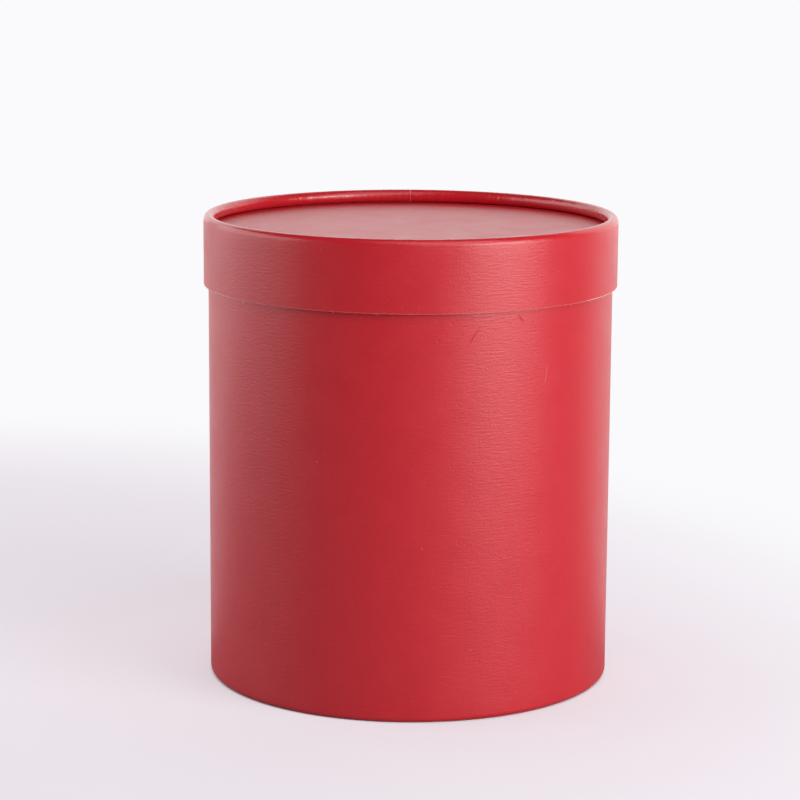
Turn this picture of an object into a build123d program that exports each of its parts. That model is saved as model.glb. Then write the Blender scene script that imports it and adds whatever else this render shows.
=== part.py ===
from build123d import *
import math
import os
from typing import NamedTuple

os.makedirs("parts", exist_ok=True)

# A round gift box of wound board: a tall tube with a cap that slides down over it.
# Both tubes have one end rolled inwards, and the roll holds a sunken board disc.
# Lengths are in millimetres. The origin is the middle of the foot and Z points up.

# Overall sizes
lid_diameter = 178.0      # outside of the lid, over its paper
overall_height = 201.0    # floor to the top of the lid's rolled rim
lid_height = 30.0         # the lid's cut edge to the top of its rim

# Sheets and the glue between them
wrap_paper = 0.2          # coloured outer paper
lining_paper = 0.15       # plain inner paper
glue_film = 0.08          # room for glue between two sheets
lid_board = 1.2           # wall of the lid's tube
body_board = 1.5          # wall of the body's tube
disc_board = 1.5          # both end discs

# Rolled rim of the lid, measured over its paper
rim_width = 4.8           # wall to the innermost point of the roll
rim_recess = 5.8          # top of the rim down to the disc
rim_lip_lean = 0.6        # how far the lip's end leans back to the wall

# Rolled foot of the body, measured over its bare board
foot_width = 4.6
foot_recess = 5.6         # floor up to the disc
foot_lip_lean = 0.6

# Each half turn is drawn as straight steps, so that the rings have few facets.
# An odd number leaves a flat crest in the middle, which is what the box stands on.
turn_steps = 5
covered_steps = 1         # steps of the foot that the body's paper goes round

# Fits
slide_clearance = 0.3     # lining of the lid to the paper of the body
seat_clearance = 0.3      # lid's underside to the body's top edge
disc_fit = 0.1            # edge of a disc to the wall around it
seam_gap = 0.25           # hairline where the two ends of a wound paper meet, at the back

# Radii, from the outside in
lid_radius = lid_diameter / 2
lid_tube_radius = lid_radius - wrap_paper - glue_film
lid_tube_bore = lid_tube_radius - lid_board
lid_lining_radius = lid_tube_bore - glue_film
lid_bore = lid_lining_radius - lining_paper
body_radius = lid_bore - slide_clearance
body_tube_radius = body_radius - wrap_paper - glue_film
body_tube_bore = body_tube_radius - body_board
body_lining_radius = body_tube_bore - glue_film
body_bore = body_lining_radius - lining_paper

# Heights above the floor
covered_disc = wrap_paper + glue_film + disc_board + glue_film + lining_paper
lid_edge = overall_height - lid_height
lid_disc_top = overall_height - rim_recess
lid_underside = lid_disc_top - covered_disc
body_height = lid_underside - seat_clearance
floor_level = foot_recess + covered_disc


class Roll(NamedTuple):
    """A tube's end rolled inwards: a half turn, and a lip that runs back to the disc."""
    skin: float      # radius of the tube's outermost sheet
    width: float
    recess: float
    lean: float


rim = Roll(lid_radius, rim_width, rim_recess, rim_lip_lean)
foot = Roll(body_tube_radius, foot_width, foot_recess, foot_lip_lean)


def turned(outline, seam=False):
    """Turn a closed outline of (radius, height) about Z, starting at the back."""
    section = Plane.YZ * make_face(Polyline(*outline, close=True).edges())
    opening = math.degrees(seam_gap / body_radius) if seam else 0
    return revolve(section, Axis.Z, 360 - opening)


def band(inner, outer, low, high, seam=False):
    """A plain ring of sheet or, with no inner radius, a disc."""
    return turned([(inner, low), (outer, low), (outer, high), (inner, high)], seam)


def half_turn(roll, depth, steps=turn_steps):
    """Corners of the half turn at a depth inside its skin, from the wall over the crest.

    The crest of the skin is at height zero, and the wall hangs below it.
    """
    radius = roll.width / 2
    centre = roll.skin - radius
    sunk = radius * math.cos(math.radians(90 / turn_steps))
    angles = [math.radians(180 * step / turn_steps) for step in range(steps + 1)]
    reach = radius - depth
    return [(centre + reach * math.cos(a), reach * math.sin(a) - sunk) for a in angles]


def lip_end(roll, depth):
    """Where the lip ends at a depth inside its skin. The lip is cut square."""
    drop = roll.recess - glue_film - roll.width / 2
    slope = math.atan2(roll.lean, drop)
    radius = roll.skin - roll.width + roll.lean + depth * math.cos(slope)
    return radius, depth * math.sin(slope) - (roll.recess - glue_film)


def rolled_skin(roll, depth, length):
    """A face that follows the roll all round, from its cut edge to the end of its lip."""
    cut_edge = (roll.skin - depth, -length)
    return [cut_edge, *half_turn(roll, depth), lip_end(roll, depth)]


def rolled_slot(roll, depth, length):
    """The inner face of rolled board. The bends pinch it, so its corners are sharp."""
    wall = roll.skin - depth
    lip = roll.skin - roll.width + depth
    return [(wall, -length), (wall, -depth), (lip, -depth), lip_end(roll, depth)]


def on_top(solid):
    """Lift a tube made with its crest at height zero to the top of the box."""
    return Pos(0, 0, overall_height) * solid


def on_floor(solid):
    """Turn a tube made with its crest at height zero over, so that the crest is the foot."""
    return mirror(solid, Plane.XY)


def lid_tube():
    """Board tube of the lid, rolled in at the top."""
    near = wrap_paper + glue_film
    outside = rolled_skin(rim, near, lid_height)
    inside = rolled_slot(rim, near + lid_board, lid_height)
    return on_top(turned(outside + inside[::-1]))


def lid_wrap():
    """Coloured paper round the lid, rolled in with the board."""
    outside = rolled_skin(rim, 0, lid_height)
    inside = rolled_skin(rim, wrap_paper, lid_height)
    return on_top(turned(outside + inside[::-1], seam=True))


def lid_lining():
    """Plain paper inside the lid's skirt, up to the paper under the disc."""
    return band(lid_bore, lid_lining_radius, lid_edge, lid_underside - glue_film, seam=True)


def lid_disc_facing():
    """Coloured paper disc that shows inside the rim."""
    return band(0, lid_tube_bore - disc_fit, lid_disc_top - wrap_paper, lid_disc_top)


def lid_disc():
    """Board disc of the lid, held under the lip of the rim."""
    high = lid_disc_top - wrap_paper - glue_film
    return band(0, lid_tube_bore - disc_fit, high - disc_board, high)


def lid_disc_lining():
    """Plain paper on the underside of the lid's disc."""
    return band(0, lid_tube_bore - disc_fit, lid_underside, lid_underside + lining_paper)


def body_tube():
    """Board tube of the body, rolled in at the foot. The box stands on the roll's crest."""
    outside = rolled_skin(foot, 0, body_height)
    inside = rolled_slot(foot, body_board, body_height)
    return on_floor(turned(outside + inside[::-1]))


def body_wrap():
    """Coloured paper round the body. It turns under the foot and stops short of the floor."""
    film = -glue_film
    skin = film - wrap_paper
    outside = [(foot.skin - skin, -body_height), *half_turn(foot, skin, covered_steps)]
    inside = [(foot.skin - film, -body_height), *half_turn(foot, film, covered_steps)]
    return on_floor(turned(outside + inside[::-1], seam=True))


def body_lining():
    """Plain paper inside the body, down to the paper on its floor."""
    return band(body_bore, body_lining_radius, floor_level + glue_film, body_height, seam=True)


def base_disc_facing():
    """Coloured paper on the underside of the base."""
    return band(0, body_tube_bore - disc_fit, foot_recess, foot_recess + wrap_paper)


def base_disc():
    """Board disc of the base, held above the lip of the foot."""
    low = foot_recess + wrap_paper + glue_film
    return band(0, body_tube_bore - disc_fit, low, low + disc_board)


def base_disc_lining():
    """Plain paper on the floor of the box."""
    return band(0, body_tube_bore - disc_fit, floor_level - lining_paper, floor_level)


pieces = [
    body_tube,
    body_wrap,
    body_lining,
    base_disc,
    base_disc_facing,
    base_disc_lining,
    lid_tube,
    lid_wrap,
    lid_lining,
    lid_disc,
    lid_disc_facing,
    lid_disc_lining,
]

for piece in pieces:
    export_step(piece(), f"parts/{piece.__name__}.step")

print(f"body {2 * body_radius:.2f} across and {body_height:.2f} high, outside")
print(f"inside it is {2 * body_bore:.2f} across, with its floor at {floor_level:.2f}")
print(f"the lid covers {body_height - lid_edge:.2f} of the body and lifts off along Z")
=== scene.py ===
# %% [markdown]
# # A round gift box of wound board
# The real object is a tall tube of grey board, covered in satin red paper, with a cap that slides
# down over it. One end of each tube is rolled inwards by machine, and the roll holds a sunken disc.
# The measured frame already holds the twelve pieces at their real size. This script gives them their
# looks: smooth rolled edges, paper that gathers where it is drawn in, cut edges that show the board,
# and a small studio to see it in. Blender works in metres, so every length here ends up in metres.

# %% Load the measured frame
import math
from dataclasses import dataclass

import bpy
from mathutils import Matrix, Vector


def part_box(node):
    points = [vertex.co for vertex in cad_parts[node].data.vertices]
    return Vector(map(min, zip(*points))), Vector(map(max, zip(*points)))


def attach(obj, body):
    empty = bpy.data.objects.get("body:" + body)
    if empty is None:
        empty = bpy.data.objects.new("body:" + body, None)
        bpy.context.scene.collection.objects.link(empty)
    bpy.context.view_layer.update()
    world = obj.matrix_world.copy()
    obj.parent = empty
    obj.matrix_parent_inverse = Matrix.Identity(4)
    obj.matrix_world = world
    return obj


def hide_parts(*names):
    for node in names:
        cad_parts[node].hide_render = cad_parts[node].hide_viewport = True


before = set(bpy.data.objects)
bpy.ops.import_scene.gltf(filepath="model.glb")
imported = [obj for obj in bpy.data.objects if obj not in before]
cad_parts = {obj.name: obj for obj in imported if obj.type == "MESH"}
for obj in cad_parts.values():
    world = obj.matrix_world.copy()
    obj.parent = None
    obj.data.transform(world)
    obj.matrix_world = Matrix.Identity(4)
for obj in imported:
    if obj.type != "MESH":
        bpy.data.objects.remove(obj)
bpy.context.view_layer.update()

# %% [markdown]
# ## Sheets
# Everything in this box is a thin sheet, so the thicknesses are named once, in millimetres. The
# radii, the heights and the cut edges aren't typed again: they are read from the frame's own pieces,
# so the looks can't drift away from the measured model. A rolled end is described the way a maker
# would set up the rolling machine: how wide and how tall the roll is, how far it turns, and how deep
# a lip it leaves. The lid's rim is curled right under. The foot turns only a little past half way
# and ends in a straight lip.

# %% Sheets, glue and rolled ends
mm = 0.001
wrap_paper = 0.2 * mm
lining_paper = 0.15 * mm
glue_film = 0.08 * mm
lid_board = 1.2 * mm
body_board = 1.5 * mm


@dataclass
class Roll:
    """A tube's end that is rolled inwards, measured on its outermost sheet."""
    skin: float
    width: float
    height: float
    turn: float
    lip_drop: float
    crest: float
    up: int

    @property
    def radius(self):
        return self.width / 2

    @property
    def tall_radius(self):
        return self.height / 2

    def lip_length(self, depth):
        """How far the sheet at this depth runs on past the turn, down to the end of the lip."""
        past_half = self.turn - math.pi
        left = self.lip_drop - (self.radius - depth) * math.sin(past_half)
        return left / math.cos(past_half) if self.lip_drop else 0.0

    def wall_length(self, cut_edge):
        return abs(self.crest - cut_edge) - self.tall_radius


lid_low, lid_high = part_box("lid_wrap")
tube_low, tube_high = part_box("body_tube")
body_low, body_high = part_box("body_wrap")
full_curl = math.radians(262)
rim = Roll(
    skin=lid_high.x,
    width=4.8 * mm,
    height=5.6 * mm,
    turn=full_curl,
    lip_drop=0.0,
    crest=lid_high.z,
    up=1,
)
lip_drop, lip_lean = 3.22 * mm, 0.6 * mm
foot = Roll(
    skin=tube_high.x,
    width=4.6 * mm,
    height=4.6 * mm,
    turn=math.pi + math.atan2(lip_lean, lip_drop),
    lip_drop=lip_drop,
    crest=tube_low.z,
    up=-1,
)
print(f"the lid is {2 * rim.skin / mm:.1f} mm across, the body's board {2 * foot.skin / mm:.1f} mm")

# %% [markdown]
# ## Colours
# A colour is easiest to read as it looks on a screen, which is what a hex value such as #c81e2a
# says. Shaders work with the amount of light instead, so one function turns screen values into
# linear ones. Typing hex values straight into a shader would make everything too pale.


# %% Colours from hex
def linear(hex_colour, alpha=1.0):
    """A screen colour such as #c81e2a as the linear numbers that a shader needs."""
    channels = [int(hex_colour[i:i + 2], 16) / 255 for i in (1, 3, 5)]
    bright = [c / 12.92 if c <= 0.04045 else ((c + 0.055) / 1.055) ** 2.4 for c in channels]
    return (*bright, alpha)


print("a mid red as linear light:", [round(channel, 3) for channel in linear("#c81e2a")])

# %% [markdown]
# ## Nodes from code
# Shapes and materials are both built from nodes here. Adding one by hand takes several lines: make
# it, change its settings, and link or fill each socket. One small function does all three, so the
# trees below read as lists of steps. A socket can be given a number, an output, or a whole node,
# which stands for that node's first output in use.


# %% Add a node
def add(tree, kind, sockets=None, **settings):
    """Add a node with its settings, and fill or link its sockets."""
    node = tree.nodes.new(kind)
    for name, value in settings.items():
        setattr(node, name, value)
    for name, value in (sockets or {}).items():
        if isinstance(value, bpy.types.Node):
            value = next(output for output in value.outputs if output.enabled)
        if isinstance(value, bpy.types.NodeSocket):
            tree.links.new(value, node.inputs[name])
        else:
            node.inputs[name].default_value = value
    return node


# %% [markdown]
# ## The rolled sheet
# Board and paper both start flat. They are wound into a tube, and a machine rolls one end inwards,
# until it has curled under or until a short lip points at the disc. A Screw modifier could turn the
# same outline, but it would forget where each point lay on the flat sheet, and the paper's grain and
# its gathers need that. So a Geometry Nodes tree does what the maker does: it starts from a flat
# grid, with columns round the tube and rows from the cut edge to the lip, and bends it by one
# formula. The same tree makes all six tubes of paper and board, because its sizes are inputs.


# %% The tree and its inputs
def start_tree(name, inputs):
    """A Geometry Nodes tree with the inputs named for each kind of socket, and their outputs."""
    tree = bpy.data.node_groups.new(name, "GeometryNodeTree")
    tree.interface.new_socket("Geometry", in_out="OUTPUT", socket_type="NodeSocketGeometry")
    for kind, names in inputs.items():
        for title in names:
            tree.interface.new_socket(title, in_out="INPUT", socket_type="NodeSocket" + kind)
    given = add(tree, "NodeGroupInput")
    return tree, {output.name: output for output in given.outputs if output.name}


sheet_inputs = {
    "Int": ["Columns", "Wall Rows", "Turn Rows", "Lip Rows"],
    "Float": [
        "Skin Radius", "Turn Radius", "Turn Height", "Turn Angle", "Depth", "Thickness",
        "Wall Length", "Lip Length", "Crest", "Up", "Seam Angle", "Gather Depth", "Gather Width",
        "Gather Length", "Wave Depth", "Wave Width", "Seed",
    ],
    "Material": ["Sheet", "Cut Edge"],
}
sheet_tree, known = start_tree("rolled_sheet", sheet_inputs)
print("the sheet's inputs:", ", ".join(known))

# %% [markdown]
# The grid is one unit to a column and one to a row. Each step below is a name, what it does, and
# what it works on, and a loop turns the list into Math nodes. That keeps the arithmetic readable.

# %% The flat grid
grid_steps = [
    ("rolled rows", "ADD", "Wall Rows", "Turn Rows"),
    ("all rows", "ADD", "rolled rows", "Lip Rows"),
    ("points round", "ADD", "Columns", 1.0),
    ("points along", "ADD", "all rows", 1.0),
    ("half columns", "MULTIPLY", "Columns", 0.5),
    ("minus half", "MULTIPLY", "half columns", -1.0),
    ("half gap", "MULTIPLY", "Seam Angle", 0.5),
    ("far side", "SUBTRACT", math.tau, "half gap"),
]
for name, operation, *terms in grid_steps:
    sockets = {place: known.get(term, term) for place, term in enumerate(terms)}
    known[name] = add(sheet_tree, "ShaderNodeMath", sockets, operation=operation)
grid = add(
    sheet_tree,
    "GeometryNodeMeshGrid",
    {
        "Size X": known["Columns"],
        "Size Y": known["all rows"],
        "Vertices X": known["points round"],
        "Vertices Y": known["points along"],
    },
)
grid_position = add(sheet_tree, "GeometryNodeInputPosition")
grid_place = add(sheet_tree, "ShaderNodeSeparateXYZ", {0: grid_position})
known["column"] = grid_place.outputs["X"]
half_rows = {0: known["all rows"], 1: 0.5, 2: grid_place.outputs["Y"]}
known["row"] = add(sheet_tree, "ShaderNodeMath", half_rows, operation="MULTIPLY_ADD")
print("steps worked out so far:", len(known))

# %% [markdown]
# A row is somewhere on the wall, in the turn, or on the lip. Three Map Range nodes say how far it
# has come along each. They are clamped, so on the wall the turn is still zero, and on the lip the
# turn is finished, and no row needs a special case. A fourth one spreads the columns round the tube,
# from one side of the seam at the back to the other.

# %% Wall, turn, lip and the way round
stretches = {
    "wall": ("row", 0.0, "Wall Rows", 0.0, "Wall Length"),
    "turn": ("row", "Wall Rows", "rolled rows", 0.0, "Turn Angle"),
    "lip": ("row", "rolled rows", "all rows", 0.0, "Lip Length"),
    "angle": ("column", "minus half", "half columns", "far side", "half gap"),
}
for name, ends in stretches.items():
    places = ("Value", "From Min", "From Max", "To Min", "To Max")
    sockets = {place: known.get(end, end) for place, end in zip(places, ends)}
    known[name] = add(sheet_tree, "ShaderNodeMapRange", sockets)
print("stretches of the sheet:", ", ".join(stretches))

# %% [markdown]
# The section is a wall, part of a circle, and a straight lip that leaves the circle where the turn
# ends. The circle may be drawn a little taller than it is wide. The radius and the height of any
# point follow from its three distances with one sine and one cosine. The last steps find where the
# point lay on the flat sheet.

# %% The section and the flat sheet
section_steps = [
    ("reach", "SUBTRACT", "Turn Radius", "Depth"),
    ("tall reach", "SUBTRACT", "Turn Height", "Depth"),
    ("cosine", "COSINE", "turn"),
    ("sine", "SINE", "turn"),
    ("centre", "SUBTRACT", "Skin Radius", "Turn Radius"),
    ("out", "MULTIPLY_ADD", "reach", "cosine", "centre"),
    ("lip inwards", "MULTIPLY", "lip", "sine"),
    ("radial", "SUBTRACT", "out", "lip inwards"),
    ("wall below", "SUBTRACT", "wall", "Wall Length"),
    ("risen", "MULTIPLY_ADD", "tall reach", "sine", "wall below"),
    ("lip turned", "MULTIPLY_ADD", "lip", "cosine", "risen"),
    ("under crest", "SUBTRACT", "lip turned", "Turn Height"),
    ("height", "MULTIPLY_ADD", "under crest", "Up", "Crest"),
    ("sideways", "SINE", "angle"),
    ("backwards", "COSINE", "angle"),
    ("radial turned", "MULTIPLY", "radial", "Up"),
    ("x", "MULTIPLY", "radial turned", "sideways"),
    ("y", "MULTIPLY", "radial", "backwards"),
    ("flat round", "MULTIPLY", "angle", "Skin Radius"),
    ("flat turn", "MULTIPLY_ADD", "turn", "reach", "wall"),
    ("flat along", "ADD", "flat turn", "lip"),
    ("round x", "MULTIPLY", "Skin Radius", "sideways"),
    ("round y", "MULTIPLY", "Skin Radius", "backwards"),
]
for name, operation, *terms in section_steps:
    sockets = {place: known.get(term, term) for place, term in enumerate(terms)}
    known[name] = add(sheet_tree, "ShaderNodeMath", sockets, operation=operation)
bent_sockets = {"X": known["x"], "Y": known["y"], "Z": known["height"]}
bent_place = add(sheet_tree, "ShaderNodeCombineXYZ", bent_sockets)
flat_sockets = {"X": known["flat round"], "Y": known["flat along"]}
flat_place = add(sheet_tree, "ShaderNodeCombineXYZ", flat_sockets)
ring_sockets = {"X": known["round x"], "Y": known["round y"], "Z": known["flat along"]}
ring_place = add(sheet_tree, "ShaderNodeCombineXYZ", ring_sockets)
print("the section takes", len(section_steps), "steps")

# %% [markdown]
# Where a point lay on the flat sheet is kept as a UV map in metres, which the materials use for grain
# that runs the way the sheet was wound. The wrinkles need a place that joins up behind the seam, so
# they get one on a plain ring, caught before the grid is bent. Then Set Position bends it.

# %% Bend the grid
mapped = add(
    sheet_tree,
    "GeometryNodeStoreNamedAttribute",
    {"Geometry": grid.outputs["Mesh"], "Name": "flat_sheet", "Value": flat_place},
    data_type="FLOAT2",
    domain="CORNER",
)
caught = add(sheet_tree, "GeometryNodeCaptureAttribute", {"Geometry": mapped}, domain="POINT")
for kind, name, source in (("VECTOR", "Ring", ring_place), ("FLOAT", "Turn", known["turn"])):
    caught.capture_items.new(kind, name)
    sheet_tree.links.new(source.outputs[0], caught.inputs[name])
bent = add(sheet_tree, "GeometryNodeSetPosition", {"Geometry": caught, "Position": bent_place})
print("caught for the wrinkles:", [item.name for item in caught.capture_items])

# %% [markdown]
# ## Gathers and waves
# Paper that is drawn in over the roll has too much length for the smaller circle, so it wrinkles
# across the edge. The wrinkles are narrow round the tube and long down the roll, so the noise is
# stretched that way. They grow from just before the crest inwards, and fade where the curl tucks
# under, because the paper is pressed flat against the board there. The wall has only a very slight
# wave, where glued paper follows the wound board. Moving real points, and not only the shading, lets
# the wrinkles catch the light along the rim as they do on the box.

# %% Wrinkles in the sheet
gather_sockets = {"X": known["Gather Width"], "Y": known["Gather Width"], "Z": known["Gather Length"]}
gather_grid = add(sheet_tree, "ShaderNodeCombineXYZ", gather_sockets)
gather_sockets = {0: caught.outputs["Ring"], 1: gather_grid}
gather_place = add(sheet_tree, "ShaderNodeVectorMath", gather_sockets, operation="DIVIDE")
gather_sockets = {
    "Vector": gather_place,
    "W": known["Seed"],
    "Scale": 1.0,
    "Detail": 2.0,
    "Roughness": 0.6,
}
gather_noise = add(sheet_tree, "ShaderNodeTexNoise", gather_sockets, noise_dimensions="4D")
# how far round the turn the gathers begin, are full, start to fade and are pressed nearly flat
begun, full, fading, pressed = [math.radians(turn) for turn in (75, 170, 215, 260)]
share_when_pressed = 0.2
growth = {"Value": caught.outputs["Turn"], "From Min": begun, "From Max": full}
gather_share = add(sheet_tree, "ShaderNodeMapRange", growth, interpolation_type="SMOOTHSTEP")
fade = {
    "Value": caught.outputs["Turn"],
    "From Min": fading,
    "From Max": pressed,
    "To Min": gather_share,
    "To Max": share_when_pressed,
}
gather_rest = add(sheet_tree, "ShaderNodeMapRange", fade)
wave_scale = add(sheet_tree, "ShaderNodeMath", {0: 1.0, 1: known["Wave Width"]}, operation="DIVIDE")
wave_sockets = {"Vector": caught.outputs["Ring"], "W": known["Seed"], "Scale": wave_scale, "Detail": 1.0}
wave_noise = add(sheet_tree, "ShaderNodeTexNoise", wave_sockets, noise_dimensions="4D")
known.update(
    {"gather noise": gather_noise, "gather share": gather_rest, "wave noise": wave_noise}
)
wrinkle_steps = [
    ("gather about zero", "SUBTRACT", "gather noise", 0.5),
    ("gather", "MULTIPLY", "gather about zero", "gather share"),
    ("gather depth", "MULTIPLY", "gather", "Gather Depth"),
    ("wave about zero", "SUBTRACT", "wave noise", 0.5),
    ("wrinkle", "MULTIPLY_ADD", "wave about zero", "Wave Depth", "gather depth"),
    ("inwards", "MULTIPLY", "Thickness", -1.0),
]
for name, operation, *terms in wrinkle_steps:
    sockets = {place: known.get(term, term) for place, term in enumerate(terms)}
    known[name] = add(sheet_tree, "ShaderNodeMath", sockets, operation=operation)
normal = add(sheet_tree, "GeometryNodeInputNormal")
offset = add(sheet_tree, "ShaderNodeVectorMath", {0: normal, "Scale": known["wrinkle"]}, operation="SCALE")
wrinkled = add(sheet_tree, "GeometryNodeSetPosition", {"Geometry": bent, "Offset": offset})
print("the tree has", len(sheet_tree.nodes), "nodes before the sheet gets its thickness")

# %% [markdown]
# Extrude Mesh pushes the skin inwards and joins it to its old border with strips, but leaves nothing
# where the skin was. So the first skin is put back, and everything is merged along the shared edges.
# The strips are the cut edges. They get a material of their own, because a cut through paper or
# board never looks like its face.

# %% Thickness and cut edges
thick = add(
    sheet_tree,
    "GeometryNodeExtrudeMesh",
    {"Mesh": wrinkled, "Offset Scale": known["inwards"], "Individual": False},
    mode="FACES",
)
cut_faces = add(
    sheet_tree,
    "GeometryNodeStoreNamedAttribute",
    {"Geometry": thick, "Name": "cut_edge", "Value": thick.outputs["Side"]},
    data_type="BOOLEAN",
    domain="FACE",
)
inner_side = add(sheet_tree, "GeometryNodeFlipFaces", {"Mesh": cut_faces})
both_sides = add(sheet_tree, "GeometryNodeJoinGeometry")
for skin in (inner_side, wrinkled):
    sheet_tree.links.new(skin.outputs[0], both_sides.inputs[0])
# far more than rounding, and less than any seam
weld_distance = 0.005 * mm
weld_sockets = {"Geometry": both_sides, "Distance": weld_distance}
closed = add(sheet_tree, "GeometryNodeMergeByDistance", weld_sockets)
is_cut = add(sheet_tree, "GeometryNodeInputNamedAttribute", {"Name": "cut_edge"}, data_type="BOOLEAN")
smooth = add(sheet_tree, "GeometryNodeSetShadeSmooth", {"Geometry": closed, "Shade Smooth": True})
real = add(sheet_tree, "GeometryNodeRealizeInstances", {"Geometry": smooth})
faced = add(sheet_tree, "GeometryNodeSetMaterial", {"Geometry": real, "Material": known["Sheet"]})
edged_sockets = {"Geometry": faced, "Selection": is_cut, "Material": known["Cut Edge"]}
edged = add(sheet_tree, "GeometryNodeSetMaterial", edged_sockets)
add(sheet_tree, "NodeGroupOutput", {"Geometry": edged})
print("the rolled sheet tree has", len(sheet_tree.nodes), "nodes")

# %% [markdown]
# ## From a tree to a mesh
# A Geometry Nodes modifier only shows its result while it lives on the object. The piece that is
# handed on has to be a plain mesh, so the result is copied out and the modifier is removed. Its
# inputs are set by the sockets' identifiers before the first evaluation. Edges sharper than 50
# degrees stay crisp, and everything else is shaded smooth.

# %% Turn a tree into a plain mesh
crisp_from = math.radians(50)


def grow(name, tree, values):
    """Evaluate a tree with its named inputs set, and keep the result as a plain mesh."""
    piece = bpy.data.objects.new(name, bpy.data.meshes.new(name))
    bpy.context.scene.collection.objects.link(piece)
    modifier = piece.modifiers.new("grow", "NODES")
    modifier.node_group = tree
    for item in tree.interface.items_tree:
        if item.in_out == "INPUT" and item.name in values:
            modifier[item.identifier] = values[item.name]
    bpy.context.view_layer.update()
    evaluated = piece.evaluated_get(bpy.context.evaluated_depsgraph_get())
    mesh = bpy.data.meshes.new_from_object(evaluated)
    piece.modifiers.remove(modifier)
    piece.data = mesh
    mesh.name = name
    mesh.set_sharp_from_angle(angle=crisp_from)
    mesh.calc_loop_triangles()
    print(f"{name}: {len(mesh.vertices)} points, {len(mesh.loop_triangles)} triangles")
    return piece


print(f"edges stay crisp from {math.degrees(crisp_from):.0f} degrees")

# %% [markdown]
# ## Satin red paper
# The covering is dyed paper with a thin satin coat, pressed between rollers. Up close it has a fine
# grain that runs round the tube, a few pin-sized dents from the glue and the board below, and the
# odd pale speck where the dye missed a fibre. The coat gives a broad soft sheen, so a wide lamp shows
# as a pale band. Where the end is rolled, the die has burnished it, so it shines more than the wall.
# An image of paper would do, but it would repeat and stretch. Noise and Voronoi textures, scaled
# from real sizes in millimetres, never do. On the tubes they read the flat sheet, so the grain
# follows the winding, and on the flat discs they read the object's own coordinates. Three helpers
# come first: one starts an empty material, one ends it with its shader, and one scatters round marks.


# %% A material to fill
def new_material(name):
    """An empty node material."""
    material = bpy.data.materials.new(name)
    material.use_nodes = True
    material.node_tree.nodes.clear()
    return material


def finished(material, colour, rough, height, index):
    """End a material with its shader, and with heights in millimetres as bump."""
    tree = material.node_tree
    bump = add(tree, "ShaderNodeBump", {"Strength": 1.0, "Distance": mm, "Height": height})
    sockets = {"Base Color": colour, "Roughness": rough, "Normal": bump, "IOR": index}
    shader = add(tree, "ShaderNodeBsdfPrincipled", sockets)
    add(tree, "ShaderNodeOutputMaterial", {"Surface": shader})
    print(f"{material.name}: {len(tree.nodes)} nodes")
    return material


def scatter(tree, place, spacing, size, share):
    """Round marks of one size, in a share of the cells of a grid with the given spacing."""
    cells = add(tree, "ShaderNodeTexVoronoi", {"Vector": place, "Scale": 1 / spacing})
    pick = add(tree, "ShaderNodeSeparateColor", {"Color": cells.outputs["Color"]})
    chosen = add(tree, "ShaderNodeMath", {0: pick.outputs["Red"], 1: share}, operation="LESS_THAN")
    edge = size / spacing / 2
    full_within = edge * 0.4
    mark = {"Value": cells, "From Min": full_within, "From Max": edge, "To Min": chosen, "To Max": 0.0}
    return add(tree, "ShaderNodeMapRange", mark, interpolation_type="SMOOTHSTEP")


print("materials are built from sizes in millimetres")

# %% [markdown]
# The creases are the thin marks that a fingernail or a box corner leaves, just under the lid. Each is
# a long narrow dent between two places on the body, given as the angle round the box, from its right
# side, and the height above the floor. A Mapping node set to Texture turns and stretches the paper's
# coordinates so that the mark becomes a unit circle, and a spherical gradient fills it.


# %% Creases under the lid
@dataclass
class Crease:
    """A thin dent in the body's paper, from one angle and height to another, in degrees and mm."""
    start: tuple
    end: tuple
    depth: float
    width: float = 0.9


body_creases = [
    Crease((-71.1, 165.4), (-75.7, 155.5), depth=0.16),
    Crease((-60.1, 169.3), (-57.8, 164.9), depth=0.16),
    Crease((-49.7, 148.4), (-51.0, 138.2), depth=0.16),
]


def on_flat_sheet(angle, height):
    """A place on the body's wall as millimetres on its flat sheet."""
    turned = math.radians(angle - 90) % math.tau
    return Vector((turned * foot.skin / mm, body_high.z / mm - height))


def dent(tree, place, crease):
    """One crease as a value from 0 around it to 1 along its middle."""
    start, end = on_flat_sheet(*crease.start), on_flat_sheet(*crease.end)
    middle, run = (start + end) / 2, end - start
    line = add(
        tree,
        "ShaderNodeMapping",
        {
            "Vector": place,
            "Location": (middle.x, middle.y, 0.0),
            "Rotation": (0.0, 0.0, math.atan2(run.y, run.x)),
            "Scale": (run.length / 2, crease.width / 2, 1000.0),
        },
        vector_type="TEXTURE",
    )
    gradient = add(tree, "ShaderNodeTexGradient", {"Vector": line}, gradient_type="SPHERICAL")
    return gradient.outputs["Fac"]


print("creases drawn in the paper:", len(body_creases))
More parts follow.
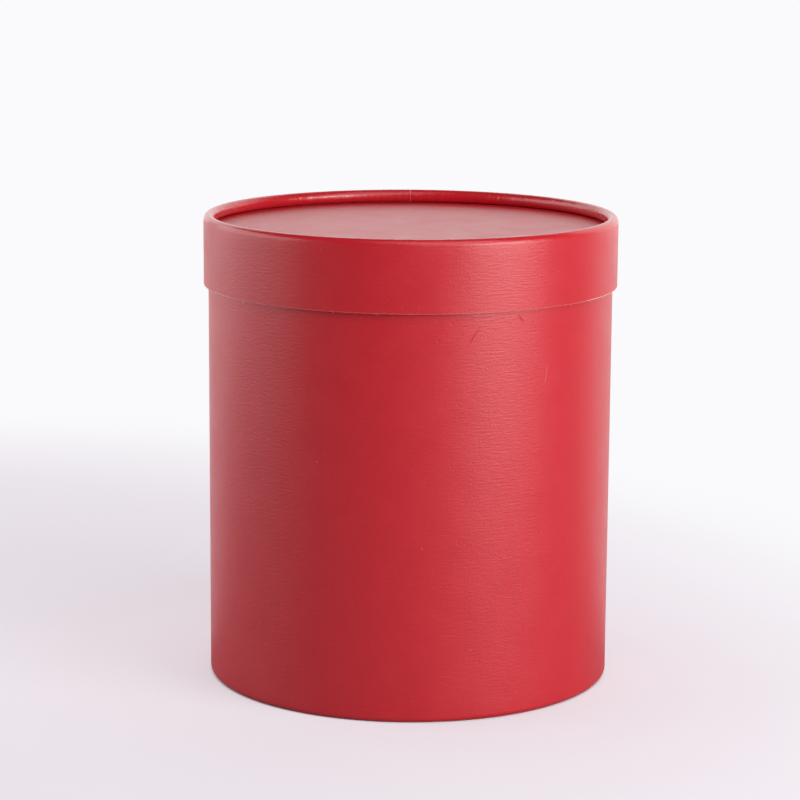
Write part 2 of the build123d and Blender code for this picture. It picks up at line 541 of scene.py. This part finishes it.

# %% [markdown]
# Handling rubs the dye off the lid's lower edge, in a broken line about a quarter of a millimetre
# high. At the sides it is painted much paler than at the front, because there it also stands for the
# light that the rounded edge catches from the side lamps: a painted highlight as well as wear. One
# noise makes the line ragged and a second one breaks it into long stretches. What they add up to is
# compared with the height on the flat sheet, which is zero at the cut edge, so the pale line stays on
# the edge whatever the lid's size.


# %% Wear and painted highlight on the lid's lower edge
def rubbed_and_highlit_share(tree, in_mm, flat):
    """How pale the lower edge is: 0 over most of the lid, up to 1 at its sides, as wear and a painted
    highlight.
    """
    # sizes in mm: the ragged bits, the long stretches, and how high the pale line could ever reach
    bit, stretch, highest = 1.6, 22.0, 1.3
    across = add(tree, "ShaderNodeVectorMath", {0: in_mm, 1: (1.0, 0.0, 1.0)}, operation="MULTIPLY")
    ragged = add(tree, "ShaderNodeTexNoise", {"Vector": across, "Scale": 1 / bit, "Detail": 3.0})
    patchy = add(tree, "ShaderNodeTexNoise", {"Vector": across, "Scale": 1 / stretch, "Detail": 1.0})
    reach = add(tree, "ShaderNodeMath", {0: ragged, 1: patchy}, operation="MULTIPLY")
    above = {0: reach, 1: -highest, 2: flat.outputs["Y"]}
    above = add(tree, "ShaderNodeMath", above, operation="MULTIPLY_ADD")
    # the front lies half way round the flat sheet; 75 to 105 mm from it the line grows into the painted
    # highlight on the sides
    from_front = {0: flat.outputs["X"], 1: math.pi * rim.skin / mm}
    from_front = add(tree, "ShaderNodeMath", from_front, operation="SUBTRACT")
    from_front = add(tree, "ShaderNodeMath", {0: from_front}, operation="ABSOLUTE")
    side = {"Value": from_front, "From Min": 75.0, "From Max": 105.0, "To Min": 0.15, "To Max": 1.0}
    side = add(tree, "ShaderNodeMapRange", side)
    worn_and_highlit = {"Value": above, "From Min": -0.20, "From Max": 0.04, "To Min": side, "To Max": 0.0}
    return add(tree, "ShaderNodeMapRange", worn_and_highlit)


print(f"half of the way round the lid is {math.pi * rim.skin / mm:.0f} mm")

# %% [markdown]
# Now the paper itself. Its colour drifts a little between two reds, as dye does, with pale specks on
# top. The heights of grain, streaks, dents and creases are added up in millimetres and go to one
# Bump node. The gloss isn't even either: it drifts with the same clouds, it is higher on the roll,
# and it is gone along the lid's pale lower edge, which is wear and, at the sides, a painted highlight.
# Coated paper's index is about 1.5, and 1.6 matched the strength of the real sheen.


# %% The red paper itself
def satin_red_paper(name, on_tube, rolled_from=None, worn_and_highlit_edge=False, creases=()):
    """Dyed paper with a satin coat: fine grain, a few dents and specks, a broad soft sheen."""
    material = new_material(name)
    tree = material.node_tree
    if on_tube:
        place = add(tree, "ShaderNodeUVMap", uv_map="flat_sheet").outputs["UV"]
    else:
        place = add(tree, "ShaderNodeTexCoord").outputs["Object"]
    in_mm = add(tree, "ShaderNodeVectorMath", {0: place, "Scale": 1 / mm}, operation="SCALE")
    # real felt grain is about 0.3 mm, drawn at 0.8 mm so that it still shows from a metre away
    grain_size, streak_length, cloud_size = 0.8, 5.0, 14.0
    grain = add(tree, "ShaderNodeTexNoise", {"Vector": in_mm, "Scale": 1 / grain_size, "Detail": 2.0})
    along_grain = {0: in_mm, 1: (1 / streak_length, 1 / grain_size, 1.0)}
    along_grain = add(tree, "ShaderNodeVectorMath", along_grain, operation="MULTIPLY")
    streaks = add(tree, "ShaderNodeTexNoise", {"Vector": along_grain, "Scale": 1.0, "Detail": 2.0})
    cloud = add(tree, "ShaderNodeTexNoise", {"Vector": in_mm, "Scale": 1 / cloud_size, "Detail": 3.0})
    dents = scatter(tree, in_mm, spacing=3.1, size=0.9, share=0.35)
    specks = scatter(tree, in_mm, spacing=11.0, size=0.7, share=0.35)

    reds = {"Factor": cloud, "A": linear("#c71c28"), "B": linear("#cf222e")}
    colour = add(tree, "ShaderNodeMix", reds, data_type="RGBA")
    share = add(tree, "ShaderNodeMath", {0: specks, 1: 0.5}, operation="MULTIPLY")
    speckled = {"Factor": share, "A": colour, "B": linear("#e3a49a")}
    colour = add(tree, "ShaderNodeMix", speckled, data_type="RGBA")
    rough_range = {"Value": cloud, "From Min": 0.3, "From Max": 0.7, "To Min": 0.35, "To Max": 0.41}
    rough = add(tree, "ShaderNodeMapRange", rough_range)

    flat = add(tree, "ShaderNodeSeparateXYZ", {0: in_mm})
    if rolled_from:
        # the rolling die polishes the paper, fully from 1.5 mm past the start of the roll
        polish = {"Value": flat.outputs["Y"], "From Min": rolled_from, "From Max": rolled_from + 1.5}
        polish = add(tree, "ShaderNodeMapRange", polish)
        burnished = {"Factor": polish, "A": rough, "B": 0.24}
        rough = add(tree, "ShaderNodeMix", burnished, data_type="FLOAT")

    # the flat discs were pressed smooth under a plate, so their grain is shallower
    grain_depth = 0.055 if on_tube else 0.035
    layers = [(grain, grain_depth), (streaks, 0.072), (dents, -0.060)]
    layers += [(dent(tree, in_mm, crease), -crease.depth) for crease in creases]
    height = 0.0
    for layer, depth in layers:
        height = add(tree, "ShaderNodeMath", {0: layer, 1: depth, 2: height}, operation="MULTIPLY_ADD")

    # the pale lower edge is worn dye and, at the sides, a painted highlight; the gloss goes with it
    if worn_and_highlit_edge:
        worn_and_highlit = rubbed_and_highlit_share(tree, in_mm, flat)
        # a pale pink core colour, painted for the wear and, at the sides, for the highlight
        rubbed_and_highlit = {"Factor": worn_and_highlit, "A": colour, "B": linear("#efc0b6")}
        colour = add(tree, "ShaderNodeMix", rubbed_and_highlit, data_type="RGBA")
        rough = add(tree, "ShaderNodeMix", {"Factor": worn_and_highlit, "A": rough, "B": 0.8}, data_type="FLOAT")

    return finished(material, colour, rough, height, index=1.6)


lid_wall = rim.wall_length(lid_low.z) / mm
body_wall = foot.wall_length(body_high.z) / mm
# the eye sees a deep warm red with a soft pale band, fine grain round the tube and thin creases
body_red = satin_red_paper(
    "satin_red_paper_round_body", True, rolled_from=body_wall, creases=body_creases
)
# the eye sees the same red, with a brighter line along the roll and a pale lower edge: wear, and a painted
# highlight at the sides
lid_red = satin_red_paper("satin_red_paper_round_lid", True, rolled_from=lid_wall, worn_and_highlit_edge=True)
# the eye sees the same red pressed smooth, so it mirrors the studio more evenly
disc_red = satin_red_paper("satin_red_paper_on_discs", False)

# %% [markdown]
# ## Cut edges, lining and board
# A cut through the red paper shows its paler core. The lining is plain uncoated paper: off-white,
# quite matt, with visible fibres and a few grey bits. The tubes and discs are grey board made from
# waste paper, so it is speckled with lighter and darker bits, and where it is cut through its plies
# show as thin darker glue lines, one to every half millimetre. All three are uncoated fibre, so they
# differ mostly in colour, in how coarse they are, and in what is scattered through them. One
# function holds what they share.


# %% Uncoated fibre
def uncoated_fibre(name, dark, pale, fibre, cloud_size, depth, bits=(), ply=None):
    """Plain paper or board: matt, cloudy, and rough with fibres of a size in mm."""
    material = new_material(name)
    tree = material.node_tree
    place = add(tree, "ShaderNodeTexCoord").outputs["Object"]
    in_mm = add(tree, "ShaderNodeVectorMath", {0: place, "Scale": 1 / mm}, operation="SCALE")
    cloud = add(tree, "ShaderNodeTexNoise", {"Vector": in_mm, "Scale": 1 / cloud_size, "Detail": 4.0})
    fibres = add(tree, "ShaderNodeTexNoise", {"Vector": in_mm, "Scale": 1 / fibre, "Detail": 3.0})
    mixed = add(tree, "ShaderNodeMath", {0: cloud, 1: fibres}, operation="MULTIPLY")
    share = add(tree, "ShaderNodeMapRange", {"Value": mixed, "From Min": 0.12, "From Max": 0.40})
    shades = {"Factor": share, "A": linear(dark), "B": linear(pale)}
    colour = add(tree, "ShaderNodeMix", shades, data_type="RGBA")
    height = add(tree, "ShaderNodeMath", {0: fibres, 1: depth}, operation="MULTIPLY")
    for bit_colour, spacing, size in bits:
        marks = scatter(tree, in_mm, spacing, size, share=0.4)
        bitty = {"Factor": marks, "A": colour, "B": linear(bit_colour)}
        colour = add(tree, "ShaderNodeMix", bitty, data_type="RGBA")
    if ply:
        from_axis = {0: in_mm, 1: (1.0, 1.0, 0.0)}
        from_axis = add(tree, "ShaderNodeVectorMath", from_axis, operation="MULTIPLY")
        radius = add(tree, "ShaderNodeVectorMath", {0: from_axis}, operation="LENGTH")
        # the plies wander by about a tenth of a millimetre
        wander = {0: cloud, 1: 0.12, 2: radius.outputs["Value"]}
        wander = add(tree, "ShaderNodeMath", wander, operation="MULTIPLY_ADD")
        to_line = add(tree, "ShaderNodeMath", {0: wander, 1: ply / 2}, operation="PINGPONG")
        line_range = {"Value": to_line, "From Min": 0.03, "From Max": 0.10, "To Min": 0.6, "To Max": 0.0}
        glue_line = add(tree, "ShaderNodeMapRange", line_range)
        lined = {"Factor": glue_line, "A": colour, "B": linear("#5f574b")}
        colour = add(tree, "ShaderNodeMix", lined, data_type="RGBA")
        height = add(tree, "ShaderNodeMath", {0: glue_line, 1: -0.06, 2: height}, operation="MULTIPLY_ADD")
    rough_range = {"Value": fibres, "From Min": 0.3, "From Max": 0.7, "To Min": 0.82, "To Max": 0.95}
    rough = add(tree, "ShaderNodeMapRange", rough_range)
    return finished(material, colour, rough, height, index=1.45)


# the eye sees a pale pink line where the dye didn't reach the core of the sheet
paper_edge = uncoated_fibre("cut_edge_of_red_paper", "#c98a86", "#efd3cc", 0.3, 3.0, 0.03)
# the eye sees a warm off-white, soft and without any shine
lining_bits = [("#b9ab98", 7.0, 0.5), ("#fbf8f2", 4.0, 0.7)]
plain_lining = uncoated_fibre("plain_lining_paper", "#e4ded3", "#f3efe8", 0.45, 9.0, 0.02, lining_bits)
# the eye sees a dull brownish grey, speckled like any board made from waste paper
board_bits = [("#6e675c", 3.5, 0.6), ("#cfc8bb", 4.5, 0.7)]
board_face = uncoated_fibre("wound_grey_board", "#8f887b", "#aca598", 0.6, 6.0, 0.04, board_bits)
# the eye sees the same board a little darker and rougher, with thin lines between its plies
board_edge = uncoated_fibre(
    "cut_edge_of_grey_board", "#857e71", "#a8a194", 0.4, 3.0, 0.06, board_bits, ply=0.5
)
# the eye sees a few short pale pink hairs
fibre_tuft = uncoated_fibre("loose_paper_fibre", "#dca79d", "#f4ddd4", 0.2, 1.0, 0.01)

# %% [markdown]
# ## The tubes of paper and board
# Each tube is the same tree with other sizes. The depth says how far a sheet lies inside the
# outermost one: the lid's board lies under its paper, and the body's paper lies outside its board, so
# its depth is less than zero. Each sheet's two ends meet in a hairline seam at the back, which is
# wider in the linings, because nobody sees them. The red papers have many more columns, because only
# they carry gathers or waves.

# %% Sizes of each sheet
hairline, lining_gap = 0.06 * mm, 0.25 * mm
sheet_seam, lining_seam = hairline / body_high.x, lining_gap / body_high.x
lid_cut, body_cut = lid_low.z, body_high.z
lid_lining_low, lid_lining_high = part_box("lid_lining")
body_lining_low, body_lining_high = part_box("body_lining")
under_wrap = wrap_paper + glue_film


def sheet_values(roll, depth, thickness, cut, sheet, edge, **changes):
    """The tree's inputs for a sheet that follows a whole roll, with any changes put over them."""
    values = {
        "Columns": 360,
        "Wall Rows": 2,
        "Turn Rows": 30,
        "Lip Rows": 6 if roll.lip_drop else 0,
        "Skin Radius": roll.skin,
        "Turn Radius": roll.radius,
        "Turn Height": roll.tall_radius,
        "Turn Angle": roll.turn,
        "Depth": depth,
        "Thickness": thickness,
        "Wall Length": roll.wall_length(cut),
        "Lip Length": roll.lip_length(depth),
        "Crest": roll.crest,
        "Up": float(roll.up),
        "Seam Angle": sheet_seam,
        "Gather Width": 2.4 * mm,
        "Gather Length": 12 * mm,
        "Wave Width": 40 * mm,
        "Seed": 3.0,
        "Sheet": sheet,
        "Cut Edge": edge,
    }
    values.update({name.replace("_", " "): value for name, value in changes.items()})
    return values


print(f"the body's paper stops {body_low.z / mm:.2f} mm above the floor")

# %% [markdown]
# A lining doesn't follow the roll. It is a plain tube, which the same tree makes when the turn and
# the lip are set to nothing. The body's paper follows only the start of the turn, and is trimmed
# before the foot's crest, so that the box stands on its board.

# %% Grow the six tubes
plain_tube = {
    "Turn_Angle": 0.0,
    "Turn_Height": 0.0,
    "Turn_Rows": 0,
    "Lip_Rows": 0,
    "Lip_Length": 0.0,
    "Seam_Angle": lining_seam,
}
trimmed_turn = math.radians(55)
sheets = {
    "lid_red_paper": sheet_values(
        rim, 0.0, wrap_paper, lid_cut, lid_red, paper_edge,
        Columns=1080, Wall_Rows=6, Gather_Depth=0.55 * mm, Wave_Depth=0.05 * mm,
    ),
    "lid_board_tube": sheet_values(rim, under_wrap, lid_board, lid_cut, board_face, board_edge),
    "body_red_paper": sheet_values(
        foot, -under_wrap, wrap_paper, body_cut, body_red, paper_edge,
        Columns=540, Wall_Rows=40, Turn_Angle=trimmed_turn, Turn_Rows=10, Lip_Rows=0,
        Lip_Length=0.0, Wave_Depth=0.08 * mm,
    ),
    "body_board_tube": sheet_values(foot, 0.0, body_board, body_cut, board_face, board_edge),
    "lid_skirt_lining": sheet_values(
        rim, rim.skin - lid_lining_high.x, lining_paper, lid_cut, plain_lining, plain_lining,
        **plain_tube, Wall_Length=lid_lining_high.z - lid_lining_low.z,
        Crest=lid_lining_high.z,
    ),
    "body_wall_lining": sheet_values(
        foot, foot.skin - body_lining_high.x, lining_paper, body_cut, plain_lining, plain_lining,
        **plain_tube, Wall_Rows=4, Wall_Length=body_lining_high.z - body_lining_low.z,
        Crest=body_lining_low.z,
    ),
}
tubes = {name: grow(name, sheet_tree, values) for name, values in sheets.items()}
print("tubes grown:", len(tubes))

# %% [markdown]
# ## Fibres on the lid's lower edge
# The lid's paper was cut dry, so its edge isn't clean: here and there a pale fibre stands off it.
# There are dozens of them, and they must not look regular. A second tree scatters points
# round the edge, puts a short line on each, bends the lines with noise, and sweeps a tiny circle
# along them. The seed is fixed, so every run gives the same fibres.

# %% The fibre tree
fibre_inputs = {
    "Int": ["Count", "Seed"],
    "Float": ["Radius", "Height", "Length", "Thickness"],
    "Material": ["Fibre"],
}
fibre_tree, given = start_tree("loose_fibres", fibre_inputs)

# a place on the edge for each fibre
any_angle = {"Min": (0.0, 0.0, 0.0), "Max": (math.tau, math.tau, math.tau), "Seed": given["Seed"]}
where = add(fibre_tree, "FunctionNodeRandomValue", any_angle, data_type="FLOAT_VECTOR")
bearing = add(fibre_tree, "ShaderNodeSeparateXYZ", {0: where}).outputs["X"]
places = {}
for axis, operation in (("X", "COSINE"), ("Y", "SINE")):
    share = add(fibre_tree, "ShaderNodeMath", {0: bearing}, operation=operation)
    places[axis] = add(fibre_tree, "ShaderNodeMath", {0: share, 1: given["Radius"]}, operation="MULTIPLY")
edge_place = add(fibre_tree, "ShaderNodeCombineXYZ", {**places, "Z": given["Height"]})
points = add(fibre_tree, "GeometryNodePoints", {"Count": given["Count"], "Position": edge_place})
print("fibres stand on", points.name.lower(), "round the edge")

# %% [markdown]
# Each point gets a short line that hangs down and leans by chance. The lines are divided into a few
# parts and moved by noise, so that they curl, and then swept with a five-sided profile. That is
# plenty for something a tenth of a millimetre thick.

# %% Bend and sweep the fibres
lean_most = 0.9
lean_range = {
    "Min": (-lean_most, -lean_most, 0.0),
    "Max": (lean_most, lean_most, math.tau),
    "Seed": given["Seed"],
}
lean = add(fibre_tree, "FunctionNodeRandomValue", lean_range, data_type="FLOAT_VECTOR")
shortest = add(fibre_tree, "ShaderNodeMath", {0: given["Length"], 1: 0.3}, operation="MULTIPLY")
size_range = {"Min": shortest, "Max": given["Length"], "Seed": given["Seed"]}
size = add(fibre_tree, "FunctionNodeRandomValue", size_range, data_type="FLOAT")
line = add(fibre_tree, "GeometryNodeCurvePrimitiveLine", {"Start": (0, 0, 0), "End": (0, 0, -1)})
instance_sockets = {"Points": points, "Instance": line, "Rotation": lean, "Scale": size}
straight = add(fibre_tree, "GeometryNodeInstanceOnPoints", instance_sockets)
loose = add(fibre_tree, "GeometryNodeRealizeInstances", {"Geometry": straight})
fine = add(fibre_tree, "GeometryNodeResampleCurve", {"Curve": loose, "Count": 7})
wander = add(fibre_tree, "ShaderNodeTexNoise", {"Scale": 1 / (0.8 * mm), "Detail": 1.0})
about_zero = {0: wander.outputs["Color"], 1: (0.5, 0.5, 0.5)}
about_zero = add(fibre_tree, "ShaderNodeVectorMath", about_zero, operation="SUBTRACT")
curl = add(fibre_tree, "ShaderNodeVectorMath", {0: about_zero, "Scale": given["Length"]}, operation="SCALE")
curled = add(fibre_tree, "GeometryNodeSetPosition", {"Geometry": fine, "Offset": curl})
half_thick = add(fibre_tree, "ShaderNodeMath", {0: given["Thickness"], 1: 0.5}, operation="MULTIPLY")
profile = add(fibre_tree, "GeometryNodeCurvePrimitiveCircle", {"Resolution": 5, "Radius": half_thick})
sweep_sockets = {"Curve": curled, "Profile Curve": profile, "Fill Caps": True}
swept = add(fibre_tree, "GeometryNodeCurveToMesh", sweep_sockets)
real = add(fibre_tree, "GeometryNodeRealizeInstances", {"Geometry": swept})
dyed = add(fibre_tree, "GeometryNodeSetMaterial", {"Geometry": real, "Material": given["Fibre"]})
add(fibre_tree, "NodeGroupOutput", {"Geometry": dyed})
fibres = grow(
    "lid_edge_fibres",
    fibre_tree,
    {
        "Count": 46,
        "Radius": rim.skin - 0.08 * mm,
        "Height": lid_cut + 0.08 * mm,
        "Length": 1.0 * mm,
        "Thickness": 0.09 * mm,
        "Seed": 5,
        "Fibre": fibre_tuft,
    },
)

# %% [markdown]
# ## Put the pieces in the frame
# Each tube stands for one measured piece: that piece is hidden, and the new one moves with the same
# body. The discs are flat and already the right shape, so the measured ones stay and only get better
# materials: red paper on the outer sides, plain lining on the inner ones, and board between them.

# %% Replace and ride
stands_for = {
    "lid_red_paper": ("lid_wrap", "lid", "red_paper"),
    "lid_board_tube": ("lid_tube", "lid", "board"),
    "lid_skirt_lining": ("lid_lining", "lid", "plain_paper"),
    "body_red_paper": ("body_wrap", "body", "red_paper"),
    "body_board_tube": ("body_tube", "body", "board"),
    "body_wall_lining": ("body_lining", "body", "plain_paper"),
}
for name, (node, body, slot) in stands_for.items():
    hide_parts(node)
    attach(tubes[name], body)
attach(fibres, "lid")
disc_finishes = {"facing": disc_red, "lining": plain_lining}
for name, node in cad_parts.items():
    material = disc_finishes.get(name.split("_")[-1], board_face)
    for slot in node.material_slots:
        slot.link = "OBJECT"
        slot.material = material
print("pieces replaced:", ", ".join(node for node, _, _ in stands_for.values()))

# %% [markdown]
# ## The studio
# A box like this is photographed on a sweep of pale paper that runs up behind it, so there is no
# horizon. Here the floor is one large sheet that melts into the world further away. The background's
# tone comes from what camera rays see, and not from more light, so the box isn't washed out: the
# floor mixes its real, shaded paper with a plain glow of the wanted tone, more of it with distance.
# Light that bounces meets a greyer paper than the camera does, or the floor would fill the shaded
# side of the box. The glow stops at the foot, so the dark line where the box stands stays dark.

# %% A sheet for the floor
floor_mesh = bpy.data.meshes.new("pale_floor")
reach = 3.0
corners = [(-reach, -reach, 0), (reach, -reach, 0), (reach, reach, 0), (-reach, reach, 0)]
floor_mesh.from_pydata(corners, [], [(0, 1, 2, 3)])
floor = bpy.data.objects.new("pale_floor", floor_mesh)
bpy.context.scene.collection.objects.link(floor)
print(f"the floor is {2 * reach:.0f} m across")

# %% Sweep paper
# the eye sees a matt, nearly white sheet with a faint tooth, a little cooler away from the box
backdrop_tone = "#fafafc"
floor_tone = "#f7f1f8"
sweep = new_material("pale_sweep_paper")
tree = sweep.node_tree
place = add(tree, "ShaderNodeTexCoord").outputs["Object"]
tooth = add(tree, "ShaderNodeTexNoise", {"Vector": place, "Scale": 1 / (1.2 * mm), "Detail": 2.0})
tooth_bump = add(tree, "ShaderNodeBump", {"Strength": 0.3, "Distance": 0.05 * mm, "Height": tooth})
cloud = add(tree, "ShaderNodeTexNoise", {"Vector": place, "Scale": 1 / (90 * mm), "Detail": 2.0})
# the paper's sheen mirrors the pale sweep behind the box, but not the darker room in front of it
way_to_place = add(tree, "ShaderNodeVectorMath", {0: place}, operation="NORMALIZE")
how_far_back = add(tree, "ShaderNodeSeparateXYZ", {0: way_to_place}).outputs["Y"]
behind_range = {"Value": how_far_back, "From Min": 0.1, "From Max": 0.75}
behind = add(tree, "ShaderNodeMapRange", behind_range, interpolation_type="SMOOTHSTEP")
light_path = add(tree, "ShaderNodeLightPath").outputs
mirrored = add(tree, "ShaderNodeMath", {0: light_path["Is Glossy Ray"], 1: behind}, operation="MULTIPLY")
rays = add(tree, "ShaderNodeMath", {0: light_path["Is Camera Ray"], 1: mirrored}, operation="MAXIMUM")
paper_tones = {"Factor": cloud, "A": linear("#aca7ad"), "B": linear("#b4afb5")}
paper_colour = add(tree, "ShaderNodeMix", paper_tones, data_type="RGBA")
seen_tones = {"Factor": cloud, "A": linear("#f3edf4"), "B": linear("#f8f3f9")}
seen_colour = add(tree, "ShaderNodeMix", seen_tones, data_type="RGBA")
paper_colour = {"Factor": rays, "A": paper_colour, "B": seen_colour}
paper_colour = add(tree, "ShaderNodeMix", paper_colour, data_type="RGBA")
paper = add(
    tree,
    "ShaderNodeBsdfPrincipled",
    {"Base Color": paper_colour, "Roughness": 0.9, "Normal": tooth_bump},
)
print("the sweep's paper has", len(tree.nodes), "nodes")

# %% [markdown]
# The glow takes over with distance from the middle of the shade, which lies to the left of the box,
# away from the strongest lamp. Close to it, about half of what the camera sees is the shaded paper,
# and that half keeps the box's shadow.

# %% The glow and where it stops
shade_middle = (-0.3, -0.05, 0.0)
shade_full, shade_gone = 0.38, 0.64
glow_in_shade = 0.52
from_shade = add(tree, "ShaderNodeVectorMath", {0: place, 1: shade_middle}, operation="DISTANCE")
far_range = {"Value": from_shade.outputs["Value"], "From Min": shade_full, "From Max": shade_gone}
far = add(tree, "ShaderNodeMapRange", far_range, interpolation_type="SMOOTHSTEP")
tones = {"Factor": far, "A": linear(floor_tone), "B": linear(backdrop_tone)}
tone = add(tree, "ShaderNodeMix", tones, data_type="RGBA")
glow = add(tree, "ShaderNodeEmission", {"Color": tone})
glow_share = add(tree, "ShaderNodeMapRange", {"Value": far, "To Min": glow_in_shade, "To Max": 1.0})
from_axis = add(tree, "ShaderNodeVectorMath", {0: place}, operation="LENGTH").outputs["Value"]
foot_range = {"Value": from_axis, "From Min": foot.skin - 1 * mm, "From Max": foot.skin + 1 * mm}
clear_of_foot = add(tree, "ShaderNodeMapRange", foot_range, interpolation_type="SMOOTHSTEP")
open_share = add(tree, "ShaderNodeMath", {0: glow_share, 1: clear_of_foot}, operation="MULTIPLY")
seen_share = add(tree, "ShaderNodeMath", {0: open_share, 1: rays}, operation="MULTIPLY")
surface = add(tree, "ShaderNodeMixShader", {0: seen_share, 1: paper, 2: glow})
add(tree, "ShaderNodeOutputMaterial", {"Surface": surface})
floor_mesh.materials.append(sweep)
print(f"the glow is complete {shade_gone:.2f} m from the middle of the shade")

# %% [markdown]
# The world does two jobs. For the light it is a faint white fill, which keeps the shadows from going
# black. For the camera it is the backdrop's own tone, so the far edge of the floor doesn't show.

# %% World
world = bpy.data.worlds.new("studio")
bpy.context.scene.world = world
world.use_nodes = True
sky = world.node_tree
sky.nodes.clear()
fill_strength = 0.06
fill = add(sky, "ShaderNodeBackground", {"Color": linear("#ffffff"), "Strength": fill_strength})
seen = add(sky, "ShaderNodeBackground", {"Color": linear(backdrop_tone), "Strength": 1.0})
rays = add(sky, "ShaderNodeLightPath").outputs["Is Camera Ray"]
choice = add(sky, "ShaderNodeMixShader", {0: rays, 1: fill, 2: seen})
add(sky, "ShaderNodeOutputWorld", {"Surface": choice})
print("the world's fill has a strength of", fill_strength)

# %% [markdown]
# ## Lamps
# Three softboxes and two large dim walls light the box. The strongest softbox stands in front on the
# right and gives the broad pale band on the paper, and two weaker ones above it soften the shade. A
# satin surface seen at a low angle mirrors what stands behind it. That is why the real disc, the
# crest of the rim and both edges of the tube look pale, and why a wall on the left and a backdrop
# behind do more for the likeness than another bright lamp. A lamp's brightness stays the same when
# its size changes, because its power is worked out from its area.

# %% Softboxes
middle_of_box = Vector((0, 0, 0.1))


def softbox(name, bearing, elevation, distance, wide, high, brightness):
    """A soft lamp aimed at the box, on a bearing from the camera's side towards the right."""
    lamp = bpy.data.lights.new(name, "AREA")
    lamp.shape = "RECTANGLE"
    lamp.size, lamp.size_y = wide, high
    lamp.energy = brightness * math.pi * wide * high
    turn, lift = math.radians(bearing), math.radians(elevation)
    level = math.cos(lift)
    away = Vector((math.sin(turn) * level, -math.cos(turn) * level, math.sin(lift))) * distance
    holder = bpy.data.objects.new(name, lamp)
    holder.location = middle_of_box + away
    holder.rotation_euler = (-away).to_track_quat("-Z", "Y").to_euler()
    bpy.context.scene.collection.objects.link(holder)
    holder.visible_camera = False
    print(f"{name}: {wide} by {high} m, {lamp.energy:.1f} W")


softbox("right_softbox", bearing=51, elevation=11.5, distance=1.4, wide=0.95, high=0.68, brightness=6.6)
softbox("near_right_softbox", bearing=32, elevation=36, distance=0.8, wide=0.8, high=0.5, brightness=1.5)
softbox("top_softbox", bearing=20, elevation=62, distance=1.0, wide=0.84, high=0.5, brightness=1.0)
softbox("left_wall", bearing=-100, elevation=17, distance=1.4, wide=1.9, high=1.1, brightness=2.15)
softbox("backdrop", bearing=166, elevation=22, distance=1.4, wide=3.4, high=1.3, brightness=1.3)

# %% [markdown]
# ## Camera
# The camera stands a little over a metre away and slightly above the lid, with a long lens, as a
# product photographer would place it, so that the tube's sides stay nearly parallel. Its tilt and its
# third of a degree of roll were found by lining up the outline of the box.

# %% Camera
camera = bpy.data.objects.new("camera", bpy.data.cameras.new("camera"))
camera.data.lens = 125.7
camera.data.sensor_width = 36.0
camera_place = (-0.0042, -1.1933, 0.3487)
looking_down = math.radians(10.893)
camera_roll = math.radians(0.363)
camera.matrix_world = (
    Matrix.Translation(camera_place)
    @ Matrix.Rotation(math.pi / 2 - looking_down, 4, "X")
    @ Matrix.Rotation(camera_roll, 4, "Z")
)
bpy.context.scene.collection.objects.link(camera)
bpy.context.scene.camera = camera
bpy.context.scene.view_settings.view_transform = "Standard"
print(f"the camera is {camera.location.length:.2f} m from the box's foot")
